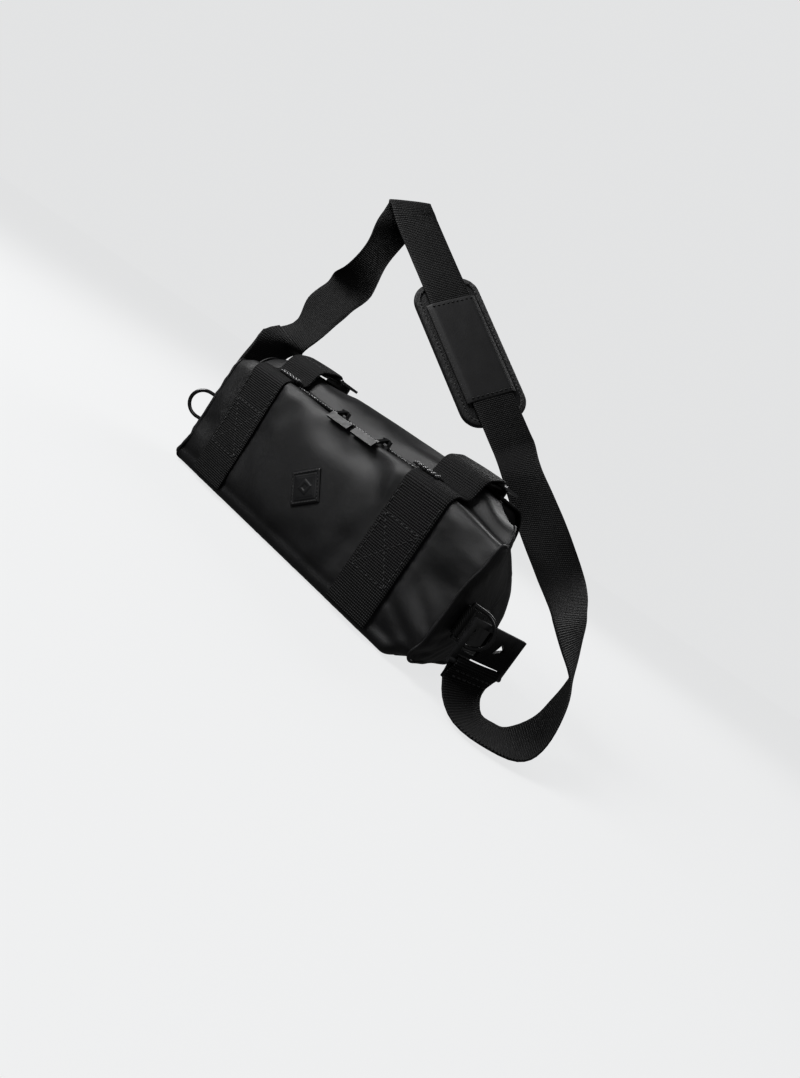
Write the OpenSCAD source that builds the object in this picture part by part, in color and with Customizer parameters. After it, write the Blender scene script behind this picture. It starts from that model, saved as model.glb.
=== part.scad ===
// Duffel-style sling bag: padded fabric body with a zipped top, two compression straps
// with hook buckles, D-rings on both ends and a shoulder strap with a sliding pad.
// Frame: +X to the bag's right seen from the front, -Y is the front, +Z is up.
// The origin is the centre of the underside.

/* [Body] */
// Length between the two flat ends
body_l = 296; // [280:1:310]
// Depth from front face to back face
body_d = 120; // [116:1:124]
// Height of the rear roll above the underside
body_h = 122; // [120:1:124]
// Height of the zip line above the underside
zip_h = 107; // [105:1:108]
// Thickness of the padded panels
panel_t = 3; // [2:0.5:3.5]
// Length of the tapered part at each end
end_taper = 12; // [10:1:14]

/* [Webbing] */
// Width of all the wide webbing
web_w = 38; // [37:0.5:38]
// Thickness of the webbing
web_t = 2; // [1.5:0.1:2]
// Distance between the centres of the compression straps
strap_pitch = 176; // [172:1:180]

/* [Zip] */
// Length of the visible row of teeth between the straps
teeth_l = 132; // [126:1:134]
// Distance from one tooth to the next in a row
tooth_pitch = 3.3; // [3:0.1:4]
// Distance of each slider from the point where the pullers meet
slider_x = 22.5; // [22:0.5:24]
// Length of each puller
pull_l = 22; // [18:0.5:22]

/* [Hardware] */
// Radius of the D-ring wire
wire_r = 1.5; // [1.4:0.05:1.6]
// Centre-line radius of the D-ring bow
bow_r = 12; // [11.9:0.05:12.1]
// Height of the D-rings
ring_z = 48; // [47:0.5:49]
// Running clearance of the metal pivots
fit = 0.08; // [0.05:0.01:0.1]

/* [Shoulder pad] */
// Length of the shoulder pad
pad_l = 138; // [130:1:142]
// Width of the shoulder pad
pad_w = 60; // [56:1:62]
// Thickness of the shoulder pad
pad_t = 7; // [6:0.5:8]

/* [Hidden] */

round_fn = 48;      // true rounds
hull_fn = 24;       // rounds inside a hull
corner_r = 10;      // lower edges of the body
edge_r = 8;         // front upper edge
rear_r = 30;        // rear upper edge
roll_r = body_h - zip_h;
roll_y = -21;       // centre of the roll's front round
front_y = -body_d / 2;
end_x = body_l / 2;
shoulder_x = end_x - end_taper;
trough_y = roll_y - roll_r;
mouth = [-56, -38]; // front and rear lips of the zip opening
mouth_x = 86;       // half length of the zip opening
lining_t = 0.8;
pipe_t = 2;         // piping seen past the end panel's edge
end_inset = 9;      // how far the flat end is smaller than the body
lap = 0.5;          // thickness of the slices that a hull joins

function arc(c, r, a0, a1, n = 10) =
  [for (i = [0:n]) let (a = a0 + (a1 - a0) * i / n) [c[0] + r * cos(a), c[1] + r * sin(a)]];

// Outline of the body in (Y, Z), drawn o inside the fabric's outer face
function outline(o) = concat(
  arc([front_y + corner_r, corner_r], corner_r - o, 180, 270),
  arc([-front_y - corner_r, corner_r], corner_r - o, 270, 360),
  arc([-front_y - rear_r, body_h - rear_r], rear_r - o, 0, 90),
  arc([roll_y, zip_h], roll_r - o, 90, 180),
  [[trough_y + o, zip_h - o]],
  arc([front_y + edge_r, zip_h - edge_r], edge_r - o, 90, 180)
);

// A (Y, Z) shape run along X from x0 to x1
module along_x(x0, x1) translate([x0, 0, 0]) rotate([90, 0, 90]) linear_extrude(x1 - x0) children();

// The body wall between two depths under its outer face, cut to a (Y, Z) region
module wall(o0, o1, x0, x1, region) along_x(x0, x1) intersection() {
  difference() { polygon(outline(o0)); polygon(outline(o1)); }
  polygon(region);
}

far = 80;
front_low = 12;     // seam between front and bottom panels
back_high = 85;     // seam between back and top panels
front_region = [[-far, front_low], [-45, front_low], [-45, 95], [mouth[0], 100], [mouth[0], 115], [-far, 115]];
bottom_region = [[-far, -1], [far, -1], [far, front_low], [-far, front_low]];
back_region = [[45, front_low], [far, front_low], [far, back_high], [45, back_high]];
roll_region = [[mouth[1], 90], [45, 90], [45, back_high], [far, back_high], [far, 130], [mouth[1], 130]];
bridge_region = [[mouth[0], 100], [mouth[1], 90], [mouth[1], 130], [mouth[0], 130]];

module front_panel() color("#17181a") wall(0, panel_t, -shoulder_x, shoulder_x, front_region);
module back_panel() color("#17181a") wall(0, panel_t, -shoulder_x, shoulder_x, back_region);
module bottom_panel() color("#141517") wall(0, panel_t, -shoulder_x, shoulder_x, bottom_region);
module top_panel() color("#17181a") {
  wall(0, panel_t, -shoulder_x, shoulder_x, roll_region);
  wall(0, panel_t, -shoulder_x, -mouth_x, bridge_region);
  wall(0, panel_t, mouth_x, shoulder_x, bridge_region);
}

// Tapered shell that closes one end, side is -1 or 1
module end_form(o, x_out) hull() {
  along_x(shoulder_x, shoulder_x + lap) polygon(outline(o));
  translate([0, 0, end_inset * 0.4]) along_x(x_out - lap, x_out) polygon(outline(o + end_inset * 0.8));
}
module facing(side) mirror([side < 0 ? 1 : 0, 0, 0]) children();
module end_panel(side) color("#151618") facing(side) difference() {
  end_form(0, end_x);
  end_form(panel_t, end_x - panel_t);
  cube([2 * (shoulder_x + 0.01), 3 * body_d, 3 * body_h], center = true);
}
module left_end_panel() end_panel(-1);
module right_end_panel() end_panel(1);

// Piping round the seam between the body and an end
module piping(side) color("#1c1d20") facing(side) along_x(shoulder_x - pipe_t, shoulder_x) difference() {
  polygon(outline(0.01 - pipe_t / 2));
  polygon(outline(0));
  translate([-far, -far]) square([2 * far, far + 1]);
}
module left_piping() piping(-1);
module right_piping() piping(1);

module lining() color("#3a3b3e") along_x(-shoulder_x + 1, shoulder_x - 1) difference() {
  polygon(outline(panel_t));
  polygon(outline(panel_t + lining_t));
  translate([-far, 90]) square([far - 34, 30]);
}

board = [258, 96, 2];
module base_board() color("#28292b")
  translate([-board[0] / 2, -board[1] / 2, panel_t + lining_t]) cube(board);

// Zip: tapes under the lips, two rows of teeth, two sliders with pullers
tape_t = 1;
tape_top = zip_h - panel_t;
zip_y = -48;
tape_gap = 0.6;
tooth = [2, 3.2, 2.4];
tooth_reach = 1.3;  // how far a tooth crosses the middle line
module tape(y0, y1) translate([-mouth_x, y0, tape_top - tape_t]) cube([2 * mouth_x, y1 - y0, tape_t]);
module zip_tape_front() color("#101112") tape(mouth[0], zip_y - tape_gap);
module zip_tape_rear() color("#101112") tape(zip_y + tape_gap, mouth[1] + 2);
module teeth(side) {
  n = floor(teeth_l / tooth_pitch);
  for (i = [0:n - 1])
    translate([(i - (n - 1) / 2) * tooth_pitch + side * tooth_pitch / 4 - tooth[0] / 2,
               zip_y - (side < 0 ? tooth[1] - tooth_reach : tooth_reach), tape_top])
      cube([tooth_pitch / 2 - 0.1, tooth[1], tooth[2]]);
}
module zip_teeth_front() color("#0c0c0d") teeth(-1);
module zip_teeth_rear() color("#0c0c0d") teeth(1);

end_tab = [16, 8, 1.6];
module zip_end_tabs() color("#0c0c0d") for (side = [-1, 1])
  translate([side * (strap_pitch / 2 - web_w / 2 + end_tab[0] / 2) - end_tab[0] / 2,
             zip_y - end_tab[1] / 2, zip_h + web_t + 0.1]) cube(end_tab);

slider_l = 13;
slider_w = 9;
plate_t = 1.3;
pin_r = 1;
slider_top = tape_top + tooth[2] + 0.3;
bridge_z = slider_top + plate_t + 3;
bridge_l = 7.6;
bridge_w = 2.6;
post_t = 1.2;
zip_meet = 9.5;     // where the two pullers meet
module slider(side) color("#0b0b0c") translate([zip_meet + side * slider_x, zip_y, 0]) {
  translate([-slider_l / 2, -slider_w / 2, slider_top]) cube([slider_l, slider_w, plate_t]);
  for (s = [-1, 1]) {
    translate([-slider_l / 2, s * (slider_w / 2 - 0.4) - 0.4, tape_top + 0.3])
      cube([slider_l, 0.8, slider_top - tape_top]);
    translate([s * (bridge_l - post_t) / 2 - post_t / 2, -bridge_w / 2, slider_top])
      cube([post_t, bridge_w, bridge_z - slider_top + bridge_w / 2]);
  }
  translate([0, 0, bridge_z]) rotate([0, 90, 0])
    cylinder(r = pin_r, h = bridge_l - post_t, center = true, $fn = round_fn);
  translate([-slider_l / 2, -slider_w / 2, tape_top - tape_t - 0.3 - plate_t]) cube([slider_l, slider_w, plate_t]);
}
module slider_left() slider(-1);
module slider_right() slider(1);

// Puller: an eye on the slider's bridge, a neck over the front lip and a long flat grip that
// lies along the front edge, pointing at the other slider
pull_w = 3.4;
eye_r = 1.8;
grip = [pull_l, 6, 1.8];
grip_at = [-11.5, -7];
grip_lean = 55;
neck_w = 3;
neck = [[-1.3, 1.2], [-9.4, -2.9], [-10.8, -5.6], [-1.5, -1.0]];
module pull(side) color("#0b0b0c") translate([zip_meet + side * slider_x, zip_y, bridge_z]) facing(-side)
  difference() {
    union() {
      rotate([0, 90, 0]) cylinder(r = eye_r, h = pull_w, center = true, $fn = round_fn);
      along_x(-neck_w / 2, neck_w / 2) polygon(neck);
      translate([-neck_w / 2, grip_at[0], grip_at[1]]) rotate([grip_lean, 0, 0])
        translate([0, -grip[1] / 2, 0]) cube(grip);
    }
    rotate([0, 90, 0]) cylinder(r = pin_r + fit, h = 2 * pull_w, center = true, $fn = round_fn);
  }
module pull_left() pull(-1);
module pull_right() pull(1);

// Square badge set on its corner; its face carries a plain raised frame
patch_side = 25;
patch_at = [7, 53];
patch_lean = 38;
module front_patch() color("#1b1c1e") translate([patch_at[0], front_y, patch_at[1]]) rotate([90, -patch_lean, 0]) {
  translate([-patch_side / 2, -patch_side / 2, 0]) cube([patch_side, patch_side, 1.4]);
  difference() {
    translate([-patch_side / 2 + 3, -patch_side / 2 + 3, 1.4]) cube([patch_side - 6, patch_side - 6, 0.6]);
    translate([-patch_side / 2 + 4.5, -patch_side / 2 + 4.5, 1.3]) cube([patch_side - 9, patch_side - 9, 1]);
  }
}

// A strip of thickness t along a (Y, Z) path
function unit(v) = v / norm(v);
function heading(p, i) = unit(p[min(i + 1, len(p) - 1)] - p[max(i - 1, 0)]);
function beside(p, d) = [for (i = [0:len(p) - 1]) let (h = heading(p, i)) p[i] + d * [-h[1], h[0]]];
function strip(p, t) = let (a = beside(p, t / 2), b = beside(p, -t / 2), n = len(b))
  concat(a, [for (i = [0:n - 1]) b[n - 1 - i]]);

// Compression strap: up the front, under the zip end, then standing clear of the roll as a
// sewn loop round the bar of its hook buckle
bar_y = -13;
bar_z = 130;
bar_r = 1.5;
loop_r = bar_r + 1.6;
skin = web_t / 2 + 0.05;
front_path = concat(
  [[front_y - skin, 7], [front_y - skin, 60], [front_y - skin, 96]],
  arc([front_y + edge_r, zip_h - edge_r], edge_r + skin, 170, 90, 6),
  [[-44, zip_h + skin], [-39.5, zip_h + 3.5], [-36.5, zip_h + 10], [-34, zip_h + 17],
   [-31, zip_h + 20.5], [-26, bar_z - 1], [bar_y - loop_r + 0.6, bar_z]]
);
module compression_strap(side) color("#121213") difference() {
  along_x(side * strap_pitch / 2 - web_w / 2, side * strap_pitch / 2 + web_w / 2) {
    polygon(strip(front_path, web_t));
    translate([-31, bar_z - 2.1]) square([31 + bar_y, 3.1]);
    translate([bar_y, bar_z]) circle(r = loop_r, $fn = round_fn);
  }
  translate([side * strap_pitch / 2, bar_y, bar_z]) rotate([0, 90, 0])
    cylinder(r = bar_r + fit, h = 2 * web_w, center = true, $fn = round_fn);
}
module compression_strap_left() compression_strap(-1);
module compression_strap_right() compression_strap(1);

// Rear strap: over the roll and down the back, with the slot that takes the hook's lip
lip_y = 7;
lip_t = 1.8;
lip_w = 28;
rear_path = concat(
  [[-6, body_h + skin], [10, body_h + skin]],
  arc([-front_y - rear_r, body_h - rear_r], rear_r + skin, 90, 0, 12),
  [[-front_y + skin, 50], [-front_y + skin, 8]]
);
module rear_strap(side) color("#121213") difference() {
  along_x(side * strap_pitch / 2 - web_w / 2, side * strap_pitch / 2 + web_w / 2)
    polygon(strip(rear_path, web_t));
  translate([side * strap_pitch / 2 - lip_w / 2 - 1, lip_y - 0.6, body_h - 1]) cube([lip_w + 2, lip_t + 3, 5]);
}
module rear_strap_left() rear_strap(-1);
module rear_strap_right() rear_strap(1);

// Flat hook buckle: round bar, two arms, plate and a lip turned down at the rear
plate_w = 45;
hook_t = 2;
arm_w = (plate_w - web_w) / 2 - 0.3;
module hook_buckle(side) color("#0d0d0e") translate([side * strap_pitch / 2, 0, 0]) {
  translate([0, bar_y, bar_z]) rotate([0, 90, 0])
    cylinder(r = bar_r, h = plate_w, center = true, $fn = round_fn);
  for (s = [-1, 1])
    translate([s * (plate_w - arm_w) / 2 - arm_w / 2, bar_y, bar_z - hook_t / 2]) cube([arm_w, 6, hook_t]);
  translate([-plate_w / 2, bar_y + loop_r + 0.5, bar_z - hook_t / 2])
    cube([plate_w, lip_y + lip_t - bar_y - loop_r - 0.5, hook_t]);
  translate([-lip_w / 2, lip_y, body_h + 0.3]) cube([lip_w, lip_t, bar_z - body_h - 0.3]);
}
module hook_buckle_left() hook_buckle(-1);
module hook_buckle_right() hook_buckle(1);

// D-rings on the ends, each held by a sewn tab; the left one hangs forward, the right one back
function ring_y(side) = side < 0 ? -39 : -43;
function ring_turn(side) = side < 0 ? -45 : 20;
ring_leg = 8.5;
tab_h = 2 * bow_r - 4;
tab_t = 1.6;
tab_r = wire_r + tab_t;
ring_x = end_x + tab_r + 0.1;
tab_l = 32;
module ring_tab(side) color("#121213") facing(side) difference() {
  union() {
    translate([ring_x, ring_y(side), ring_z]) cylinder(r = tab_r, h = tab_h, center = true, $fn = round_fn);
    translate([end_x + 0.1, ring_y(side), ring_z - tab_h / 2]) cube([2.4, tab_l, tab_h]);
  }
  translate([ring_x, ring_y(side), ring_z]) cylinder(r = wire_r + fit, h = 2 * tab_h, center = true, $fn = round_fn);
}
module ring_tab_left() ring_tab(-1);
module ring_tab_right() ring_tab(1);

module d_ring(side) color("#0d0d0e") facing(side) translate([ring_x, ring_y(side), ring_z])
  rotate([0, 0, ring_turn(side)]) {
    cylinder(r = wire_r, h = 2 * bow_r, center = true, $fn = round_fn);
    for (s = [-1, 1]) translate([0, 0, s * bow_r]) {
      sphere(r = wire_r, $fn = round_fn);
      rotate([0, 90, 0]) cylinder(r = wire_r, h = ring_leg, $fn = round_fn);
    }
    translate([ring_leg, 0, 0]) rotate([90, 0, 0]) rotate([0, 0, -90])
      rotate_extrude(angle = 180, $fn = round_fn) translate([bow_r, 0]) circle(r = wire_r, $fn = round_fn);
  }
module d_ring_left() d_ring(-1);
module d_ring_right() d_ring(1);

// Strap clip: flat hook plate on the right D-ring, its round bar in the strap's end loop
clip_at = [168.7, -26.7, 26];
clip_turn = 65;
clip_w = 48;
clip_h = 29.5;
clip_t = 2.5;
clip_bar_r = 2;
clip_slot = [14, 18];    // the ring passes through it
module clip_frame() translate(clip_at) rotate([0, 0, clip_turn]) children();
module strap_clip() color("#0d0d0e") clip_frame() {
  rotate([0, 90, 0]) cylinder(r = clip_bar_r, h = clip_w, center = true, $fn = round_fn);
  difference() {
    translate([-clip_w / 2, -clip_t / 2, 0]) cube([clip_w, clip_t, clip_h]);
    translate([-web_w / 2 - 0.6, -clip_t, -1]) cube([web_w + 1.2, 2 * clip_t, 6]);
    translate([-clip_w / 2 + 4, -clip_t, 7.5]) cube([clip_slot[0], 2 * clip_t, clip_slot[1]]);
    translate([4, clip_t, 14]) rotate([90, 0, 0])
      linear_extrude(2 * clip_t) polygon([[0, 0], [8, 4], [3, 8]]);
  }
}

// Sewn end of the shoulder strap round the clip's bar
module strap_end_loop() color("#121213") clip_frame() difference() {
  union() {
    rotate([0, 90, 0]) cylinder(r = clip_bar_r + 1.8, h = web_w, center = true, $fn = round_fn);
    translate([-web_w / 2, -1.9, -9]) cube([web_w, 3.8, 8]);
  }
  rotate([0, 90, 0]) cylinder(r = clip_bar_r + fit, h = 2 * web_w, center = true, $fn = round_fn);
}

// Shoulder strap: pairs of points on the strap's two edges, from the left end to the clip
pad_at = [-24, 52, 216];
pad_run = unit([118, 29, -77]);
pad_side = unit(cross(cross([-7, -22, -33], pad_run), pad_run) * -1);
pad_up = cross(pad_run, pad_side);
function on_pad(s) = [pad_at + s * pad_run + pad_side * web_w / 2, pad_at + s * pad_run - pad_side * web_w / 2];

// Diagonal fold at the top: the strap turns over the ridge from its left leg to its right one
ridge = [[-158, 11, 287], [-135, 34, 306]];
ridge_dir = unit(ridge[1] - ridge[0]);
ridge_out = unit(cross(cross(ridge_dir, [-0.71, 0.69, 0]), ridge_dir));
fold_r = 1.5;
fold_turn = 150;
function off_ridge(a, down) = let (n = ridge_out * cos(a) + cross(ridge_dir, ridge_out) * sin(a))
  [for (p = ridge) p + fold_r * n + down];
strap_route = concat([
  [[-149.3, -45, 62], [-149.3, -7, 62]], [[-149.3, -45, 88], [-149.3, -7, 88]],
  [[-150, -42, 104], [-149.6, -7, 112]], [[-151, -31, 125], [-144, -9, 128]],
  [[-153, -19, 140], [-124, -16, 133]], [[-153, -11, 155], [-116, -14, 144]],
  [[-160, -8, 177], [-123, 2, 167]], [[-161, 3, 199], [-127, 14, 190]],
  [[-149, 5, 217], [-142, 30, 222]], [[-146, 6, 248], [-148, 38, 253]],
  off_ridge(0, [0, 0, -8])], [for (a = [0:30:fold_turn]) off_ridge(a, [0, 0, 0])],
  [off_ridge(fold_turn, 7 * pad_run), on_pad(-128), on_pad(-104), on_pad(-92), on_pad(-40), on_pad(40),
  on_pad(86), on_pad(98),
  [[69, 54, 139], [82, 80, 162]], [[104, 64, 112], [126, 80, 134]],
  [[137, 63.5, 92], [156, 83, 111]], [[160, 47, 82], [173, 73, 98]], [[176, 27, 74], [185, 63, 87]],
  [[195, 16, 63], [193, 56, 73]],
  [[213, 7, 52], [204, 43, 51]], [[224, -9, 35], [207, 24, 31]], [[229, -26, 16], [208, 5, 19]],
  [[224, -40, 6], [202, -10, 7]], [[206, -56, 3.5], [196, -20, 6]], [[188, -60, 3.5], [188, -24, 6]],
  [[172, -54, 8], [180, -18, 11]], [[161, -45.5, 15], [177, -10, 16.5]],
]);

function spline(a, b, c, d, u) = 0.5 * ((2 * b) + (c - a) * u + (2 * a - 5 * b + 4 * c - d) * u * u
  + (3 * b - a - 3 * c + d) * u * u * u);
function route_at(r, i, u) = let (n = len(r) - 1) [for (k = [0, 1])
  spline(r[max(i - 1, 0)][k], r[i][k], r[min(i + 1, n)][k], r[min(i + 2, n)][k], u)];
function middle(e) = (e[0] + e[1]) / 2;
// Points of the route, close ones kept as they are
function steps(r, i) = norm(middle(r[i + 1]) - middle(r[i])) < 9 ? 1 : 3;
function samples(r) = [for (i = [0:len(r) - 2], k = [0:steps(r, i) - 1]) route_at(r, i, k / steps(r, i)),
  r[len(r) - 1]];
function ring(s, i, w, t) = let (
    c = middle(s[i]), d = s[i][0] - s[i][1], v = d * max(1, 38 / norm(d)) / 38,
    g = unit(middle(s[min(i + 1, len(s) - 1)]) - middle(s[max(i - 1, 0)])),
    up = unit(cross(v, g)))
  [c + v * w / 2 + up * t / 2, c - v * w / 2 + up * t / 2, c - v * w / 2 - up * t / 2, c + v * w / 2 - up * t / 2];
module ribbon(route, w, t) {
  s = samples(route);
  n = len(s);
  polyhedron(
    [for (i = [0:n - 1], p = ring(s, i, w, t)) p],
    concat([[3, 2, 1, 0]], [[4 * n - 4, 4 * n - 3, 4 * n - 2, 4 * n - 1]],
      [for (i = [0:n - 2], k = [0:3], f = [0, 1]) let (a = 4 * i + k, b = 4 * i + (k + 1) % 4)
        f == 0 ? [a, b, b + 4] : [a, b + 4, a + 4]]));
}
module shoulder_strap() color("#121213") ribbon(strap_route, web_w, web_t);

// Shoulder pad: padded body under the strap and a sleeve over it
pad_corner = 16;
pad_gap = 0.4;
module pad_frame() multmatrix([
  [pad_run[0], pad_side[0], pad_up[0], pad_at[0]],
  [pad_run[1], pad_side[1], pad_up[1], pad_at[1]],
  [pad_run[2], pad_side[2], pad_up[2], pad_at[2]],
  [0, 0, 0, 1]]) children();
function rounded(l, w, r) = concat(
  arc([l / 2 - r, w / 2 - r], r, 0, 90), arc([-l / 2 + r, w / 2 - r], r, 90, 180),
  arc([-l / 2 + r, -w / 2 + r], r, 180, 270), arc([l / 2 - r, -w / 2 + r], r, 270, 360));
module pad_body() color("#161718") pad_frame()
  translate([0, 0, web_t / 2 + pad_gap]) linear_extrude(pad_t) polygon(rounded(pad_l, pad_w, pad_corner));
sleeve_l = 96;
sleeve_w = web_w + 8;
sleeve_t = 1.5;
module pad_sleeve() color("#1a1b1d") pad_frame() {
  translate([-sleeve_l / 2, -sleeve_w / 2, -web_t / 2 - pad_gap - sleeve_t]) cube([sleeve_l, sleeve_w, sleeve_t]);
  for (s = [-1, 1]) translate([-sleeve_l / 2, s * (sleeve_w / 2 - 1) - 1, -web_t / 2 - pad_gap])
    cube([sleeve_l, 2, web_t + 2 * pad_gap]);
}

front_panel();
back_panel();
bottom_panel();
top_panel();
left_end_panel();
right_end_panel();
left_piping();
right_piping();
lining();
base_board();
zip_tape_front();
zip_tape_rear();
zip_teeth_front();
zip_teeth_rear();
zip_end_tabs();
slider_left();
slider_right();
pull_left();
pull_right();
front_patch();
compression_strap_left();
compression_strap_right();
rear_strap_left();
rear_strap_right();
hook_buckle_left();
hook_buckle_right();
ring_tab_left();
ring_tab_right();
d_ring_left();
d_ring_right();
strap_clip();
strap_end_loop();
shoulder_strap();
pad_body();
pad_sleeve();
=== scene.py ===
import math

import bmesh
import bpy
from mathutils import Matrix, Vector, noise


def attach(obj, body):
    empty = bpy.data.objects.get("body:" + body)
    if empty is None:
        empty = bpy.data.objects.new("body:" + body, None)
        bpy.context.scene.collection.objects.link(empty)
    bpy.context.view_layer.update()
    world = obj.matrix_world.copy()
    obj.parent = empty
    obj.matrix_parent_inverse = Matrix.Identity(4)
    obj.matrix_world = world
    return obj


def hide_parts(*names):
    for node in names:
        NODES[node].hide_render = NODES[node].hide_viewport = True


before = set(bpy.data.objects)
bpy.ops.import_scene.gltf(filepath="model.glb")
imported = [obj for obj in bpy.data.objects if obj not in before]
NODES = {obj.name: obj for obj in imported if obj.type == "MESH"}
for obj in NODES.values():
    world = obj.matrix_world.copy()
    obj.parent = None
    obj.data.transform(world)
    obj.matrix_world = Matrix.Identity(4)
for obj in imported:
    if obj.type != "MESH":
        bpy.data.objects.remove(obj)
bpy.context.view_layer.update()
scene = bpy.context.scene
MM = 0.001
MATS = {}


# -------------------- materials

def socket(node, name, value):
    node.inputs[name].default_value = value


def new_material(name, base, rough, **extra):
    """A node material with a Principled shader; extra sets more of its inputs."""
    m = bpy.data.materials.new(name)
    m.use_nodes = True
    nt = m.node_tree
    bsdf = nt.nodes["Principled BSDF"]
    socket(bsdf, "Base Color", (*base, 1))
    socket(bsdf, "Roughness", rough)
    for key, value in extra.items():
        socket(bsdf, key.replace("_", " "), value)
    MATS[name] = m
    return nt, bsdf


def add(nt, kind, **props):
    n = nt.nodes.new(kind)
    for key, value in props.items():
        setattr(n, key, value)
    return n


def coords(nt, uv=False):
    tc = add(nt, "ShaderNodeTexCoord")
    return tc.outputs["UV" if uv else "Object"]


def tex_noise(nt, vec, scale, detail):
    n = add(nt, "ShaderNodeTexNoise")
    socket(n, "Scale", scale)
    socket(n, "Detail", detail)
    nt.links.new(vec, n.inputs["Vector"])
    return n.outputs["Fac"]


def tex_wave(nt, vec, axis, scale):
    n = add(nt, "ShaderNodeTexWave", wave_type="BANDS", bands_direction=axis, wave_profile="SIN")
    socket(n, "Scale", scale)
    nt.links.new(vec, n.inputs["Vector"])
    return n.outputs["Fac"]


def math_node(nt, op, a, b):
    n = add(nt, "ShaderNodeMath", operation=op)
    for i, v in enumerate((a, b)):
        if isinstance(v, (int, float)):
            n.inputs[i].default_value = v
        else:
            nt.links.new(v, n.inputs[i])
    return n.outputs[0]


def remap(nt, value, lo, hi, from_lo=0.0, from_hi=1.0):
    """Stretches a value that runs from from_lo to from_hi, so that it runs from lo to hi."""
    n = add(nt, "ShaderNodeMapRange")
    for key, v in (("From Min", from_lo), ("From Max", from_hi), ("To Min", lo), ("To Max", hi)):
        socket(n, key, v)
    nt.links.new(value, n.inputs["Value"])
    return n.outputs[0]


def tint(nt, bsdf, fac, dark, light):
    """Base colour between dark and light."""
    n = add(nt, "ShaderNodeMix", data_type="RGBA")
    n.inputs["A"].default_value = (*dark, 1)
    n.inputs["B"].default_value = (*light, 1)
    nt.links.new(fac, n.inputs["Factor"])
    nt.links.new(n.outputs["Result"], bsdf.inputs["Base Color"])


def bump(nt, bsdf, height, distance, strength, after=None):
    """A bump on the shader's normal, on top of the bump given as after."""
    n = add(nt, "ShaderNodeBump")
    socket(n, "Strength", strength)
    socket(n, "Distance", distance)
    nt.links.new(height, n.inputs["Height"])
    if after is not None:
        nt.links.new(after, n.inputs["Normal"])
    nt.links.new(n.outputs["Normal"], bsdf.inputs["Normal"])
    return n.outputs["Normal"]


def shell_material():
    """Satin coated nylon: fine plain weave, soft cloudiness and slight rubbing."""
    nt, b = new_material("shell_fabric", (0.009, 0.009, 0.01), 0.42,
                         Specular_IOR_Level=0.45, Coat_Weight=0.08, Coat_Roughness=0.45)
    v = coords(nt)
    w1 = tex_wave(nt, v, "X", scale=520)
    w2 = tex_wave(nt, v, "Z", scale=520)
    weave = math_node(nt, "MULTIPLY", w1, w2)
    cloud = tex_noise(nt, v, scale=22, detail=5)
    fine = tex_noise(nt, v, scale=300, detail=2)
    tint(nt, b, remap(nt, cloud, 0, 1, from_lo=0.3, from_hi=0.72),
         (0.004, 0.004, 0.0045), (0.011, 0.011, 0.012))
    nt.links.new(remap(nt, cloud, 0.46, 0.54), b.inputs["Roughness"])
    n1 = bump(nt, b, cloud, distance=0.0004, strength=0.2)
    n2 = bump(nt, b, fine, distance=0.00025, strength=0.4, after=n1)
    bump(nt, b, weave, distance=0.0002, strength=0.5, after=n2)


def webbing_material():
    """Ribbed nylon webbing: cross ribs along V, fine twill along U (both in metres)."""
    nt, b = new_material("webbing", (0.008, 0.008, 0.009), 0.55,
                         Specular_IOR_Level=0.2, Sheen_Weight=0.02, Sheen_Roughness=0.35)
    v = coords(nt, uv=True)
    ribs = tex_wave(nt, v, "Y", scale=190)
    warp = tex_wave(nt, v, "X", scale=210)
    both = math_node(nt, "ADD", math_node(nt, "MULTIPLY", ribs, warp),
                     math_node(nt, "MULTIPLY", ribs, 0.4))
    cloud = tex_noise(nt, coords(nt), scale=30, detail=4)
    tint(nt, b, remap(nt, math_node(nt, "MULTIPLY", both, cloud), 0, 1, from_lo=0.1, from_hi=0.8),
         (0.0014, 0.0014, 0.0016), (0.024, 0.024, 0.025))
    n1 = bump(nt, b, cloud, distance=0.0008, strength=0.25)
    bump(nt, b, both, distance=0.0004, strength=0.9, after=n1)


def binding_material():
    """Grosgrain binding and zip tape: close ribs."""
    nt, b = new_material("binding", (0.013, 0.013, 0.014), 0.55,
                         Specular_IOR_Level=0.4, Sheen_Weight=0.05)
    v = coords(nt)
    ribs = tex_wave(nt, v, "DIAGONAL", scale=330)
    cloud = tex_noise(nt, v, scale=60, detail=4)
    tint(nt, b, math_node(nt, "MULTIPLY", ribs, cloud), (0.003, 0.003, 0.0035), (0.02, 0.02, 0.021))
    n1 = bump(nt, b, cloud, distance=0.0008, strength=0.3)
    bump(nt, b, ribs, distance=0.0003, strength=0.7, after=n1)


def mesh_material():
    """Spacer-mesh face of the pad: small staggered cells."""
    nt, b = new_material("pad_fabric", (0.012, 0.012, 0.013), 0.7,
                         Specular_IOR_Level=0.35, Sheen_Weight=0.1, Sheen_Roughness=0.4)
    v = coords(nt)
    cells = add(nt, "ShaderNodeTexVoronoi", feature="F1")
    socket(cells, "Scale", 640)
    socket(cells, "Randomness", 0.35)
    nt.links.new(v, cells.inputs["Vector"])
    cloud = tex_noise(nt, v, scale=40, detail=4)
    tint(nt, b, math_node(nt, "MULTIPLY", cells.outputs["Distance"], cloud),
         (0.003, 0.003, 0.0035), (0.018, 0.018, 0.019))
    n1 = bump(nt, b, cloud, distance=0.001, strength=0.3)
    bump(nt, b, cells.outputs["Distance"], distance=0.0005, strength=0.8, after=n1)


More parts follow.
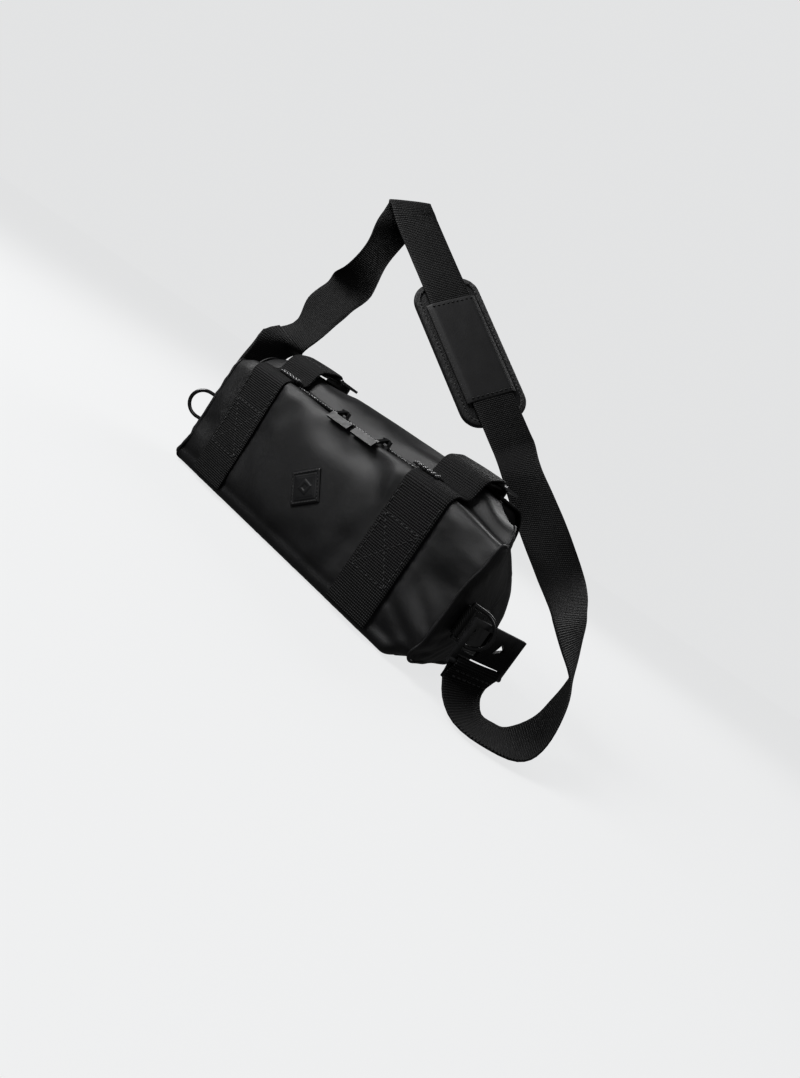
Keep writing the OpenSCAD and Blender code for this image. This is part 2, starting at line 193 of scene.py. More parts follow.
def leather_material(name="sleeve_leather", rough=0.6):
    """Smooth matt leather-like sheet with a fine grain."""
    nt, b = new_material(name, (0.015, 0.015, 0.016), rough,
                         Specular_IOR_Level=0.4, Coat_Weight=0.05, Coat_Roughness=0.45)
    v = coords(nt)
    grain = add(nt, "ShaderNodeTexVoronoi", feature="DISTANCE_TO_EDGE")
    socket(grain, "Scale", 900)
    nt.links.new(v, grain.inputs["Vector"])
    cloud = tex_noise(nt, v, scale=55, detail=5)
    tint(nt, b, cloud, (0.006, 0.006, 0.0065), (0.014, 0.014, 0.015))
    nt.links.new(remap(nt, cloud, rough - 0.08, rough + 0.1), b.inputs["Roughness"])
    n1 = bump(nt, b, cloud, distance=0.0007, strength=0.3)
    bump(nt, b, grain.outputs["Distance"], distance=0.0002, strength=0.5, after=n1)


def metal_material():
    """Black coated hardware: semi-gloss with faint orange peel, and a painted highlight that lightens the
    sharp edges.
    """
    nt, b = new_material("black_metal", (0.012, 0.012, 0.013), 0.28, Metallic=0.35,
                         Specular_IOR_Level=0.7, Coat_Weight=0.6, Coat_Roughness=0.16)
    v = coords(nt)
    cloud = tex_noise(nt, v, scale=180, detail=4)
    geo = add(nt, "ShaderNodeNewGeometry")
    # painted highlight: sharp convex edges (Pointiness) are coloured lighter, as if lit along the rim
    edge = remap(nt, geo.outputs["Pointiness"], 0, 1, from_lo=0.52, from_hi=0.6)
    tint(nt, b, math_node(nt, "MULTIPLY", edge, cloud), (0.01, 0.01, 0.011), (0.11, 0.11, 0.115))
    nt.links.new(remap(nt, cloud, 0.2, 0.38), b.inputs["Roughness"])
    bump(nt, b, cloud, distance=0.0002, strength=0.3)


def pull_material():
    """Moulded rubber of the zip pulls: matt, fine grain."""
    nt, b = new_material("pull_rubber", (0.006, 0.006, 0.007), 0.36, Specular_IOR_Level=0.35)
    v = coords(nt)
    cloud = tex_noise(nt, v, scale=320, detail=4)
    tint(nt, b, cloud, (0.003, 0.003, 0.0035), (0.01, 0.01, 0.011))
    nt.links.new(remap(nt, cloud, 0.28, 0.46), b.inputs["Roughness"])
    bump(nt, b, cloud, distance=0.0003, strength=0.5)


def teeth_material():
    """Moulded black zip teeth: glossy, slightly worn."""
    nt, b = new_material("zip_teeth", (0.012, 0.012, 0.013), 0.22,
                         Specular_IOR_Level=0.8, Coat_Weight=0.7, Coat_Roughness=0.15)
    v = coords(nt)
    cloud = tex_noise(nt, v, scale=240, detail=3)
    tint(nt, b, cloud, (0.008, 0.008, 0.009), (0.03, 0.03, 0.032))
    nt.links.new(remap(nt, cloud, 0.18, 0.4), b.inputs["Roughness"])
    bump(nt, b, cloud, distance=0.0002, strength=0.3)


def thread_material():
    """Twisted sewing thread."""
    nt, b = new_material("thread", (0.02, 0.02, 0.022), 0.5,
                         Specular_IOR_Level=0.5, Sheen_Weight=0.1)
    v = coords(nt)
    twist = tex_wave(nt, v, "DIAGONAL", scale=900)
    tint(nt, b, twist, (0.008, 0.008, 0.0085), (0.045, 0.045, 0.047))
    bump(nt, b, twist, distance=0.0002, strength=0.6)


def lining_material():
    """Plain woven lining, greyer than the shell."""
    nt, b = new_material("lining_fabric", (0.05, 0.05, 0.055), 0.8, Sheen_Weight=0.2)
    v = coords(nt)
    weave = math_node(nt, "MULTIPLY", tex_wave(nt, v, "X", scale=300), tex_wave(nt, v, "DIAGONAL", scale=300))
    tint(nt, b, weave, (0.03, 0.03, 0.033), (0.07, 0.07, 0.075))
    bump(nt, b, weave, distance=0.0003, strength=0.5)


BACKDROP = (0.94, 0.945, 0.95, 1)


def floor_material():
    """Pale floor that glows like the backdrop, so that no horizon shows."""
    nt, b = new_material("studio_floor", (0.4, 0.4, 0.4), 0.9,
                         Specular_IOR_Level=0.0, Emission_Strength=0.83)
    cloud = tex_noise(nt, coords(nt), scale=1.5, detail=2)
    tint(nt, b, cloud, (0.085, 0.085, 0.085), (0.095, 0.095, 0.095))
    socket(b, "Emission Color", BACKDROP)


shell_material()
webbing_material()
binding_material()
mesh_material()
leather_material()
leather_material("patch", 0.42)
metal_material()
pull_material()
teeth_material()
thread_material()
lining_material()
floor_material()


# -------------------- mesh helpers

def to_object(name, bm, material, body="bag", smooth=True):
    mesh = bpy.data.meshes.new(name)
    bmesh.ops.recalc_face_normals(bm, faces=bm.faces)
    bm.to_mesh(mesh)
    bm.free()
    obj = bpy.data.objects.new(name, mesh)
    scene.collection.objects.link(obj)
    mesh.materials.append(MATS[material])
    for p in mesh.polygons:
        p.use_smooth = smooth
    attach(obj, body)
    return obj


def loft(rings, closed=True, caps=True, uvs=None):
    """A bmesh through rings of points; uvs gives (u, v) in metres for each point."""
    bm = bmesh.new()
    layer = bm.loops.layers.uv.new("UVMap") if uvs else None
    rows = [[bm.verts.new(p) for p in ring] for ring in rings]
    n = len(rings[0])
    for i in range(len(rows) - 1):
        for k in range(n if closed else n - 1):
            k2 = (k + 1) % n
            quad = ((i, k), (i, k2), (i + 1, k2), (i + 1, k))
            f = bm.faces.new([rows[a][b] for a, b in quad])
            if layer:
                for loop, (a, b) in zip(f.loops, quad):
                    loop[layer].uv = uvs[a][b]
    if caps and closed:
        for row, i in ((rows[0], 0), (rows[-1], len(rows) - 1)):
            f = bm.faces.new(row)
            if layer:
                for loop, k in zip(f.loops, range(n)):
                    loop[layer].uv = uvs[i][k]
    return bm


def skin(bm, rows, around=False, closed=False):
    """Faces between rows of vertices; around closes each row, closed joins the last to the first."""
    n = len(rows[0])
    following = rows[1:] + rows[:1] if closed else rows[1:]
    for a, b in zip(rows, following):
        for k in range(n if around else n - 1):
            k2 = (k + 1) % n
            bm.faces.new((a[k], a[k2], b[k2], b[k]))


def heading(points, i):
    """Direction of an open run of points at point i."""
    return (points[min(i + 1, len(points) - 1)] - points[max(i - 1, 0)]).normalized()


def outward(ring, i):
    """Direction out of a closed flat ring at point i."""
    t = (ring[(i + 1) % len(ring)] - ring[i - 1]).normalized()
    return Vector((t.y, -t.x))


def arc(cx, cy, r, a0, a1, n):
    """n + 1 points of an arc between two angles in degrees."""
    out = []
    for i in range(n + 1):
        a = math.radians(a0 + (a1 - a0) * i / n)
        out.append(Vector((cx + r * math.cos(a), cy + r * math.sin(a))))
    return out


def resample(points, step):
    """Evenly spaced points along an open polyline."""
    total = sum((b - a).length for a, b in zip(points, points[1:]))
    count = max(2, round(total / step))
    out, want, run = [points[0].copy()], total / count, 0.0
    target = want
    for a, b in zip(points, points[1:]):
        seg = (b - a).length
        while seg > 0 and run + seg >= target - 1e-9 and len(out) < count:
            out.append(a.lerp(b, (target - run) / seg))
            target += want
        run += seg
    out.append(points[-1].copy())
    return out


def ribbon_section(width, thick, cup=0.0, across=10):
    """Closed outline of a webbing strip in (across, up), with rounded selvedges."""
    top, low = [], []
    half = width / 2
    edge = thick / 2
    for i in range(across + 1):
        x = -half + edge + (width - 2 * edge) * i / across
        lift = cup * (1 - (2 * i / across - 1) ** 2)
        top.append((x, thick / 2 + lift))
        low.append((x, -thick / 2 + lift))
    right = [(half - edge + edge * math.cos(a), edge * math.sin(a)) for a in (math.pi / 4, 0, -math.pi / 4)]
    left = [(-half + edge + edge * math.cos(a), edge * math.sin(a))
            for a in (-3 * math.pi / 4, math.pi, 3 * math.pi / 4)]
    return top + right + low[::-1] + left


def sweep(stations, section, wobble=0.0, seed=0.0):
    """Rings for a strip: stations are (centre, side, up); UVs run across and along in metres."""
    rings, uvs = [], []
    run = 0.0
    for i, (c, side, up) in enumerate(stations):
        if i:
            run += (c - stations[i - 1][0]).length
        ring, uv = [], []
        for x, z in section:
            w = wobble * noise.noise(Vector((x * 40, run * 60, seed)))
            ring.append(c + side * x + up * (z + w))
            uv.append((x, run))
        rings.append(ring)
        uvs.append(uv)
    return rings, uvs


def add_modifier(obj, kind, **props):
    mod = obj.modifiers.new(kind.title(), kind)
    for key, value in props.items():
        setattr(mod, key, value)


def bevel(obj, width, segments=2, angle=50):
    add_modifier(obj, "BEVEL", width=width, segments=segments, limit_method="ANGLE",
                 angle_limit=math.radians(angle))


def subdivide(obj):
    add_modifier(obj, "SUBSURF", levels=1, render_levels=1)


# Shape of one stitch: position along it, thickness and lift, the last two in thread radii
STITCH_SHAPE = ((0, 0.35, -0.6), (0.14, 0.9, 0.1), (0.5, 1.0, 0.55), (0.86, 0.9, 0.1), (1, 0.35, -0.6))
STITCH_ANGLES = (0, 1.047, 2.094, 3.142, 4.189, 5.236)


def stitch_mesh(lines, length=0.0030, gap=0.0012, radius=0.00042):
    """Threads as small humped capsules along lines of (points, normal)."""
    bm = bmesh.new()
    for points, normal in lines:
        path = resample([Vector(p) for p in points], 0.0005)
        last = len(path) - 1
        step = length + gap
        total = sum((b - a).length for a, b in zip(path, path[1:]))
        count = max(1, int(total / step))
        nrm = Vector(normal)
        for k in range(count):
            i0 = round((k + 0.1) * last / count)
            i1 = round((k + 0.1 + length / step) * last / count)
            a, b = path[min(i0, last)], path[min(i1, last)]
            if (b - a).length < 1e-5:
                continue
            side = (b - a).normalized().cross(nrm).normalized()
            rows = []
            for t, size, lift in STITCH_SHAPE:
                c = a.lerp(b, t) + nrm * (radius * lift)
                rows.append([bm.verts.new(c + (side * math.cos(q) + nrm * math.sin(q)) * radius * size)
                             for q in STITCH_ANGLES])
            skin(bm, rows, around=True)
            bm.faces.new(rows[0])
            bm.faces.new(rows[-1])
    return bm


def seam(a, b, normal):
    """A straight stitch line between two points in mm."""
    return [Vector(a) * MM, Vector(b) * MM], normal


def crossed_box(corners, normal):
    """Stitch lines round four corners in mm and along both diagonals."""
    return [seam(corners[a], corners[b], normal)
            for a, b in ((0, 1), (1, 2), (2, 3), (3, 0), (0, 2), (1, 3))]


# -------------------- body shell

# Sizes of the body in mm. The seams are where the ends are sewn on, on the left and on the right.
END_X, SEAM_L, SEAM_R = 148.0, 137.0, 145.5
MOUTH_X = 86.0
WEB_X, WEB_W = 88.0, 38.0
FRONT_Y, BACK_Y, TOP_Z, ZIP_Z = -60.0, 60.0, 122.0, 107.0
MIDDLE = Vector((0.0, 56.0))
HALF_D, HALF_H = 60, 58
FRONT_R, LOW_R, REAR_R, ROLL_R = 8, 10, 30, 15


def smooth(a, b, t):
    """0 at a and 1 at b, with a soft start and end."""
    t = max(0.0, min(1.0, (t - a) / (b - a)))
    return t * t * (3 - 2 * t)


def body_outline():
    """(y, z) in mm from the front lip of the mouth down, under, up the back and over to the rear lip."""
    path = arc(FRONT_Y + FRONT_R, ZIP_Z - FRONT_R, FRONT_R, 118, 180, 6)
    path += arc(FRONT_Y + LOW_R, LOW_R, LOW_R, 180, 270, 6) + arc(BACK_Y - LOW_R, LOW_R, LOW_R, 270, 360, 6)
    path += arc(BACK_Y - REAR_R, TOP_Z - REAR_R, REAR_R, 0, 90, 10) + arc(-21, ZIP_Z, ROLL_R, 90, 172, 8)
    path += [Vector((-37.5, ZIP_Z - 0.6))]
    return resample(path, 3.4)


OUTLINE = body_outline()
LIP_F, LIP_R = OUTLINE[0], OUTLINE[-1]
BRIDGE = [LIP_R.lerp(LIP_F, t) + Vector((0, -0.8 * math.sin(t * math.pi))) for t in (0.2, 0.4, 0.6, 0.8)]


def inset(p, d):
    """The outline point p drawn d mm in towards the middle of the end."""
    q = p - MIDDLE
    return MIDDLE + Vector((q.x * (1 - d / HALF_D), q.y * (1 - d / HALF_H)))


def shaped(x, p):
    """The body point in mm for outline point p at x, with the slumps and the pulled-in corners."""
    y, z = p
    ax = abs(x)
    high = smooth(45, 122, z)
    if x < 0:
        # left end: the top drops, its edges draw together and the front corner is pulled in
        z -= 9 * smooth(112, 150, ax) * high
        y += 3 * smooth(110, 150, ax) * high * (1 if y < 0 else -1)
        x += 9 * smooth(108, 150, ax) * (1 - smooth(-62, -40, y)) * smooth(0, 26, z)
    else:
        # right end: the rear and the top are pulled in, the front stays out, the low edge rises
        rear = max(0.0, min(1.0, (y + 50) / 78))
        far = smooth(98, 146, ax)
        up = max(z - 30, 0) / 92
        x -= far * (rear * (2 + 36 * up * up) + 8 * smooth(30, 60, y) - 4 * (1 - rear) * smooth(60, 92, z))
        low = 1 - smooth(0, 34, z)
        z += far * (9 * smooth(0.55, 1, far) * low - high * (7 + 9 * rear))
        x -= 4 * far * low
    if y < -30 and z > 60:
        # the front edge waves a little between the webbings
        z -= 1.2 * math.cos(x / 21) * smooth(60, 100, z) * (1 - smooth(80, 100, ax))
    return Vector((x, y, z))


BODY_STEPS = 82
# Rounding from the seam to the flat of an end: distance past the seam, and inset, in mm
END_ROUND = ((1.8, 0.2), (4.2, 1.0), (6.6, 2.4), (8.6, 4.2), (10.0, 6.6), (10.9, 9.6))
END_RINGS, END_RING_STEP = 11, 4.2
RIGHT_SQUASH = 0.22


def end_rings(side):
    """(x, inset) of the rings from a seam to the middle of its end."""
    out = []
    for dx, d in END_ROUND:
        out.append((SEAM_R + dx * RIGHT_SQUASH, d) if side > 0 else (-SEAM_L - dx, d))
    flat = END_ROUND[-1][1]
    return out + [(side * END_X, flat + END_RING_STEP * k) for k in range(1, END_RINGS + 1)]


def shell_rings():
    """(x, inset, outline points, bridge points) of each ring, from the left end to the right."""
    body = [(-SEAM_L + (SEAM_L + SEAM_R) * i / BODY_STEPS, 0) for i in range(BODY_STEPS + 1)]
    return [(x, d, [inset(p, d) for p in OUTLINE], [inset(p, d) for p in BRIDGE])
            for x, d in end_rings(-1)[::-1] + body + end_rings(1)]


def weld(x):
    """1 on the webbing's centre strip, falling to 0 just past its edges."""
    return 1 - smooth(WEB_W / 2 - 2, WEB_W / 2 + 5, abs(abs(x) - WEB_X))


def build_shell():
    """The shell as a bmesh, and how firmly each vertex is pinned, from 0 to 1."""
    bm = bmesh.new()
    rows = []
    pins = []
    n = len(OUTLINE)
    for x, d, path, bridge in shell_rings():
        closed = abs(x) >= MOUTH_X - 1
        at_seam = -SEAM_L - 2.2 < x < 2.2 - SEAM_L or 0 < x - SEAM_R + 2.2 < 2.9
        row = []
        for k, p in enumerate(path + (bridge if closed else [])):
            q = shaped(x, p)
            row.append(bm.verts.new(q * MM))
            pin = 0.0
            if at_seam:
                pin = 1.0
            elif d > 0:
                pin = max(0.25, 0.9 - d / 22)
            if q.z < 5:
                pin = max(pin, 0.9)
            if k in (0, 1, n - 2, n - 1) or k >= n:
                pin = 1.0
            pins.append(max(pin, 0.97 * weld(x)))
        rows.append((row, closed))
    for (a, ca), (b, cb) in zip(rows, rows[1:]):
        around = len(a) if ca and cb else n - 1
        for k in range(around):
            k2 = (k + 1) % len(a)
            bm.faces.new((a[k], a[k2], b[k2], b[k]))
    for row, _ in (rows[0], rows[-1]):
        bm.faces.new(row)
    return bm, pins


SMOOTHING_PASSES = 6


def run_cloth(obj, pins, pressure, cap, frames=20, shrink=-0.03, bend=0.6, stiff=12.0, mass=0.25):
    """Inflates obj with Blender's cloth, caps each point's movement, and smooths the loose points."""
    group = obj.vertex_groups.new(name="pin")
    for i, w in enumerate(pins):
        if w > 0:
            group.add([i], w, "REPLACE")
    mod = obj.modifiers.new("Cloth", "CLOTH")
    s = mod.settings
    s.quality = 6
    s.mass = mass
    s.tension_stiffness = s.compression_stiffness = stiff
    s.shear_stiffness = stiff * 0.4
    s.bending_stiffness = bend
    s.tension_damping = s.compression_damping = 8
    s.air_damping = 2
    s.vertex_group_mass = "pin"
    s.use_pressure = True
    s.uniform_pressure_force = pressure
    s.shrink_min = shrink
    s.effector_weights.gravity = 0
    mod.collision_settings.use_collision = False
    mod.collision_settings.use_self_collision = False
    mod.point_cache.frame_start, mod.point_cache.frame_end = 1, frames
    for f in range(1, frames + 1):
        scene.frame_set(f)
    dg = bpy.context.evaluated_depsgraph_get()
    moved = [v.co.copy() for v in obj.evaluated_get(dg).data.vertices]
    obj.modifiers.remove(mod)
    obj.vertex_groups.clear()
    for v, p in zip(obj.data.vertices, moved):
        d = p - v.co
        if d.length > cap:
            d *= cap / d.length
        v.co += d
    bm = bmesh.new()
    bm.from_mesh(obj.data)
    loose = [v for v in bm.verts if pins[v.index] < 0.5]
    for _ in range(SMOOTHING_PASSES):
        bmesh.ops.smooth_vert(bm, verts=loose, factor=0.5,
                              use_axis_x=True, use_axis_y=True, use_axis_z=True)
    bm.to_mesh(obj.data)
    bm.free()
    scene.frame_set(1)


def crease(obj, height):
    """Moves each vertex along its normal by height(co) metres."""
    mesh = obj.data
    normals = [v.normal.copy() for v in mesh.vertices]
    for v, nrm in zip(mesh.vertices, normals):
        v.co += nrm * height(v.co)
    mesh.update()


# Folds that run to the right low front corner: start and end in (x, z) mm, and depth in mm
CORNER_FOLDS = (((104, 35), (150, 12), 2.0), ((118, 50), (152, 27), 1.6), ((100, 21), (143, 3), 1.0))


def shell_folds(co):
    """Gathers beside the seams and webbing, the hem, and long soft folds, in metres."""
    x, y, z = co / MM
    h = 0.0
    ax = abs(x)
    seam = ax - (SEAM_L if x < 0 else SEAM_R)
    side = 0 if x < 0 else 9
    ring = math.atan2(z - 56, y)
    near = math.exp(-abs(seam + 1) / 8) if seam < 3 else math.exp(-abs(seam) / 20)
    near *= smooth(0.5, 0.95, math.hypot(y / 60, (z - 56) / 56))
    h += 1.2 * near * noise.noise(Vector((ring * 5.5, side, x * 0.012)))
    h += 0.8 * near * noise.noise(Vector((ring * 13, side + 3, x * 0.02)))
    gap = abs(ax - WEB_X) - WEB_W / 2
    if 0 < gap < 30:
        h += 0.5 * math.exp(-gap / 8) * noise.noise(Vector((ring * 9, x * 0.03, 5)))
        h += (2.4 if y < -40 else 1.0) * smooth(0, 7, gap) * math.exp(-gap / 14) * smooth(12, 24, z)
    if gap > 0:
        h += 0.55 * noise.noise(Vector((x * 0.013, y * 0.015, z * 0.018 + 2)))
        h += 0.3 * smooth(112, 126, ax) * noise.noise(Vector((x * 0.05, y * 0.05, z * 0.06)))
    if y < -50:
        h -= 1.3 * math.exp(-((z - 12) / 2.2) ** 2) - 0.7 * math.exp(-((z - 7) / 2.5) ** 2)
    if x > 100 and y < -40:
        for (x0, z0), (x1, z1), deep in CORNER_FOLDS:
            run = Vector((x1 - x0, z1 - z0))
            q = Vector((x - x0, z - z0))
            t = q.dot(run) / run.length_squared
            off = (run.x * q.y - run.y * q.x) / run.length
            h -= deep * math.exp(-(off / 3.6) ** 2) * smooth(-0.15, 0.35, t) * (1 - smooth(0.9, 1.1, t))
    if z < 4 or (y > -60 and y < -34 and z > 98 and ax < SEAM_L):
        h *= 0.12
    return h * MM


def body_shell():
    bm, pins = build_shell()
    obj = to_object("body_shell", bm, "shell_fabric")
    run_cloth(obj, pins, pressure=2.4, cap=0.0038)
    crease(obj, shell_folds)
    for v in obj.data.vertices:
        # the folds stay above the floor and behind the ring tabs
        v.co.z = max(v.co.z, 0.0002)
        v.co.x = max(-0.1478, min(0.1478 if v.co.z < 0.062 else 0.155, v.co.x))
    add_modifier(obj, "SOLIDIFY", thickness=0.0018, offset=-1.0)
    subdivide(obj)
    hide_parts("front_panel", "back_panel", "bottom_panel", "top_panel", "left_end_panel",
                "right_end_panel")
    return obj


shell = body_shell()

LINING_RINGS = 52
LINING_SCALE = 0.925


def lining_bag():
    """Loose lining just inside the shell, open along the mouth."""
    rings = []
    for i in range(LINING_RINGS + 1):
        x = -SEAM_L + 3 + (SEAM_L + SEAM_R - 7) * i / LINING_RINGS
        ring = []
        for p in OUTLINE[3:-3]:
            q = shaped(x, MIDDLE + (p - MIDDLE) * LINING_SCALE)
            q.x *= 0.985
            wave = 0.6 * noise.noise(Vector((x * 0.05, q.y * 0.05, q.z * 0.05)))
            ring.append((q + Vector((0, 0, wave))) * MM)
        rings.append(ring)
    obj = to_object("lining_bag", loft(rings, closed=False), "lining_fabric")
    add_modifier(obj, "SOLIDIFY", thickness=0.0006, offset=1.0)
    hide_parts("lining")


lining_bag()


# -------------------- piping

PIPE_R = 1.25
PIPE_SIDES = 8


def piping(side):
    """A slightly wavy cord round the seam of one end."""
    ring = [shaped(SEAM_R if side > 0 else -SEAM_L, p) for p in OUTLINE + BRIDGE]
    n = len(ring)
    centre = sum(ring, Vector()) / n
    bm = bmesh.new()
    rows = []
    for i, p in enumerate(ring):
        out = p - centre
        out.x = 0
        out.normalize()
        along = (ring[(i + 1) % n] - ring[i - 1]).normalized()
        out = (out - along * out.dot(along)).normalized()
        wave = noise.noise(Vector((i * 0.22, side * 7, 0)))
        radius = PIPE_R * (0.9 + 0.5 * wave)
        lift = 0.3 if p.z > 3 else -0.9
        drift = side * 0.9 * noise.noise(Vector((i * 0.16, side * 3, 4)))
        c = p + out * (lift + 0.3 * wave) + Vector((drift, 0, 0))
        row = []
        for j in range(PIPE_SIDES):
            q = j * 2 * math.pi / PIPE_SIDES
            v = (c + (out * math.cos(q) + Vector((1, 0, 0)) * math.sin(q)) * radius) * MM
            row.append(bm.verts.new((v.x, v.y, max(v.z, 0.0002))))
        rows.append(row)
    skin(bm, rows, around=True, closed=True)
    name = "right" if side > 0 else "left"
    obj = to_object("end_piping_" + name, bm, "shell_fabric")
    subdivide(obj)
    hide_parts(name + "_piping")


piping(-1)
piping(1)


# -------------------- webbing on the body

SKIN = 1.2  # from the flat faces of the body to the middle of the webbing, in mm
BAR = Vector((-13, 130))  # bar of the hook buckles in (y, z)


def webbing(name, stations, thick, cup, wobble, seed):
    """A strip of the wide webbing along stations; thick and cup are in mm."""
    section = [(a * MM, b * MM) for a, b in ribbon_section(WEB_W, thick, cup)]
    rings, uvs = sweep(stations, section, wobble, seed)
    return to_object(name, loft(rings, uvs=uvs), "webbing")


def path_stations(path, x):
    """Stations of a strip whose middle follows (y, z) points in mm at a fixed x; up is outward."""
    out = []
    for i, p in enumerate(path):
        g = heading(path, i)
        out.append((Vector((x, p.x, p.y)) * MM, Vector((1, 0, 0)), Vector((0, -g.y, g.x))))
    return out


def rounded_path(points, rounds):
    """Chaikin smoothing of a polyline, ends kept."""
    pts = points
    for _ in range(rounds):
        new = [pts[0]]
        for a, b in zip(pts, pts[1:]):
            new += [a.lerp(b, 0.25), a.lerp(b, 0.75)]
        pts = new + [pts[-1]]
    return pts


def front_strap(name, x):
    """Up the front, under the zip end, then clear of the roll as a sewn loop round the bar."""
    path = [Vector((FRONT_Y - SKIN, z)) for z in (6, 40, 94)]
    path += arc(FRONT_Y + FRONT_R, ZIP_Z - FRONT_R, FRONT_R + SKIN, 172, 96, 6)
    path += [Vector(p) for p in ((-45, ZIP_Z + SKIN), (-39.5, 109.8), (-37, 116), (-35.5, 123),
                                 (-32, 127.4), (-26, 129.6), (-18, 132.0))]
    path += arc(BAR.x, BAR.y, 2.65, 100, -80, 6)
    path += [Vector((-18, 127.2)), Vector((-29, 125.6))]
    path = resample(rounded_path(path, 2), 1.5)
    obj = webbing("compression_webbing_" + name, path_stations(path, x), 1.9, 0.35, 0.0002, x)
    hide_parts("compression_strap_" + name)
    y = FRONT_Y - SKIN - 1.0
    half = WEB_W / 2 - 3.2
    front, slope = (0, -1, 0), (0, -0.3, 0.95)
    lines = crossed_box([(x - half, y, 34), (x + half, y, 34), (x + half, y, 74), (x - half, y, 74)], front)
    for dx in (-half, half):
        rise = ((-32.6, 127.9), (-26.5, 130.55), (-18.5, 132.75))
        lines.append(([Vector((x + dx, yy, zz)) * MM for yy, zz in rise], slope))
    for yy, zz in ((-29.5, 129.45), (-20.5, 132.15)):
        lines.append(seam((x - half, yy, zz), (x + half, yy, zz), slope))
    for dx in (-half - 1.2, half + 1.2):
        lines.append(seam((x + dx, y, 76), (x + dx, y, 96), front))
    to_object("compression_stitching_" + name, stitch_mesh(lines), "thread")


front_strap("left", -WEB_X)
front_strap("right", WEB_X)


REAR_SKIN = 0.35   # gap between the body and the rear webbing, in mm
REAR_COLS = 22
SLOT_Y, SLOT_HALF = (6.0, 11.0), 15.5


def rear_strap(name, x):
    """Grid strip with the slot for the buckle's lip left open, thickened by a modifier."""
    path = [Vector((-6.5, TOP_Z + REAR_SKIN)), Vector((15, TOP_Z + REAR_SKIN))]
    path += arc(BACK_Y - REAR_R, TOP_Z - REAR_R, REAR_R + REAR_SKIN, 84, 4, 10)
    path += [Vector((BACK_Y + REAR_SKIN, 60)), Vector((BACK_Y + REAR_SKIN, 7))]
    path = resample(path, 1.9)
    bm = bmesh.new()
    uv = bm.loops.layers.uv.new("UVMap")
    rows, run = [], 0.0
    for i, p in enumerate(path):
        if i:
            run += (p - path[i - 1]).length * MM
        g = heading(path, i)
        row = []
        for j in range(REAR_COLS + 1):
            a = -WEB_W / 2 + WEB_W * j / REAR_COLS
            sag = 0.25 * noise.noise(Vector((a * 0.08, i * 0.1, x)))
            q = Vector((x + a, p.x, p.y)) + Vector((0, -g.y, g.x)) * sag
            row.append((bm.verts.new(q * MM), a, run, p))
        rows.append(row)
    for r0, r1 in zip(rows, rows[1:]):
        for j in range(REAR_COLS):
            quad = (r0[j], r0[j + 1], r1[j + 1], r1[j])
            mid_y = (r0[j][3].x + r1[j][3].x) / 2
            mid_a = (r0[j][1] + r0[j + 1][1]) / 2
            if r0[j][3].y > 120 and SLOT_Y[0] < mid_y < SLOT_Y[1] and abs(mid_a) < SLOT_HALF:
                continue
            f = bm.faces.new([q[0] for q in quad])
            for loop, q in zip(f.loops, quad):
                loop[uv].uv = (q[1] * MM, q[2])
    obj = to_object("rear_webbing_" + name, bm, "webbing")
    add_modifier(obj, "SOLIDIFY", thickness=0.0018, offset=1.0)
    bevel(obj, 0.0005)
    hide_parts("rear_strap_" + name)
    half = WEB_W / 2 - 3
    z = TOP_Z + REAR_SKIN + 1.75
    lines = [seam((x - half, yy, z), (x + half, yy, z), (0, 0, 1)) for yy in (4.2, 14.0)]
    y = BACK_Y + REAR_SKIN + 1.75
    lines += crossed_box([(x - half, y, 12), (x + half, y, 12), (x + half, y, 40), (x - half, y, 40)],
                         (0, 1, 0))
    to_object("rear_stitching_" + name, stitch_mesh(lines), "thread")


rear_strap("left", -WEB_X)
rear_strap("right", WEB_X)


# -------------------- shoulder strap

PAD_AT = Vector((-24, 52, 216))
PAD_RUN = Vector((118, 29, -77)).normalized()
PAD_LEAN = Vector((-7, -22, -33))
PAD_SIDE = (PAD_LEAN - PAD_RUN * PAD_LEAN.dot(PAD_RUN)).normalized()
PAD_UP = PAD_RUN.cross(PAD_SIDE)


def on_pad(s):
    """Edges of the strap where it runs straight behind the pad, s mm from the pad's middle."""
    c = PAD_AT + PAD_RUN * s
    return [c + PAD_SIDE * WEB_W / 2, c - PAD_SIDE * WEB_W / 2]


FOLD_R = 1.5
RIDGE = [Vector((-158, 11, 287)), Vector((-135, 34, 306))]
RIDGE_DIR = (RIDGE[1] - RIDGE[0]).normalized()
RIDGE_OUT = Vector((-0.71, 0.69, 0.0))
RIDGE_OUT = (RIDGE_OUT - RIDGE_DIR * RIDGE_OUT.dot(RIDGE_DIR)).normalized()


def off_ridge(deg, down):
    """Edges of the strap as it turns over the diagonal fold at the top."""
    a = math.radians(deg)
    out = RIDGE_OUT * math.cos(a) + RIDGE_DIR.cross(RIDGE_OUT) * math.sin(a)
    return [p + out * FOLD_R + down for p in RIDGE]


